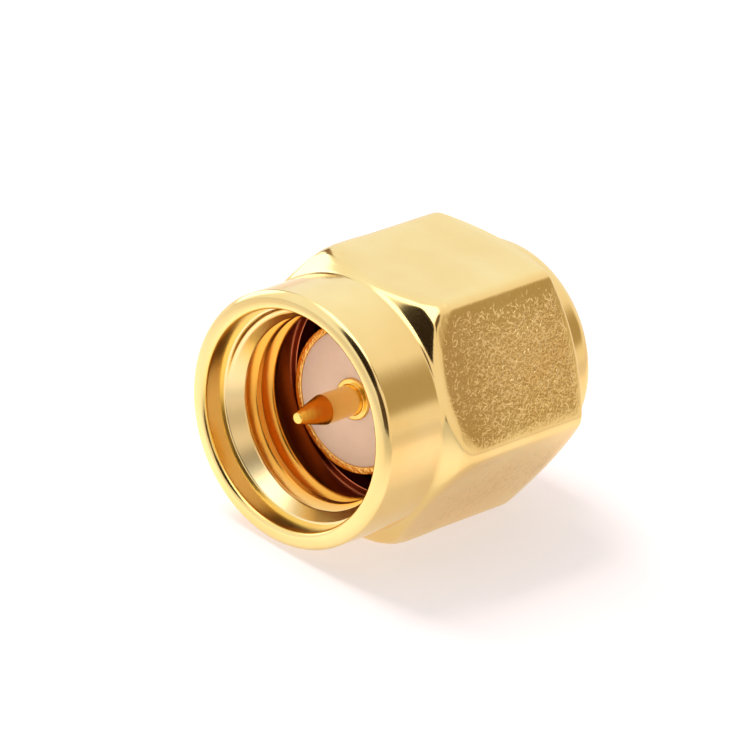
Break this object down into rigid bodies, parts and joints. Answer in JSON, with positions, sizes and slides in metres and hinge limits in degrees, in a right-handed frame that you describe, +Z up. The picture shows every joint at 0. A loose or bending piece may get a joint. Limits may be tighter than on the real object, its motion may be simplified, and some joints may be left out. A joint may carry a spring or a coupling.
{
  "type": "sma plug",
  "caption": "Straight screw-on coaxial plug with a hexagonal coupling nut, pin contact and rear cable ferrule.",
  "frame": {"origin": "on the surface that the plug lies on, under the middle of its length", "axes": "+Y along the plug's axis from its mouth to its cable end, +Z up from the hexagon flat that it lies on"},
  "size_m": [0.0092, 0.011, 0.008],
  "materials": {
    "nut_gold": "gold plated, satin with softened edges",
    "body_gold": "gold plated, bright turned",
    "contact_gold": "gold plated, bright turned",
    "spring_bronze": "bare spring bronze",
    "gasket_rubber": "smooth silicone",
    "white_insulator": "matt white"
  },
  "bodies": {
    "connector": {"connector_body": "body_gold", "retaining_ring": "spring_bronze", "gasket": "gasket_rubber", "centre_contact": "contact_gold", "front_insulator": "white_insulator", "rear_insulator": "white_insulator"},
    "nut": {"coupling_nut": "nut_gold"}
  },
  "joints": [
    {"name": "nut_spin", "type": "hinge", "parent": "connector", "child": "nut", "pos_m": [0, 0, 0.004], "axis": [0, 1, 0], "continuous": true}
  ]
}
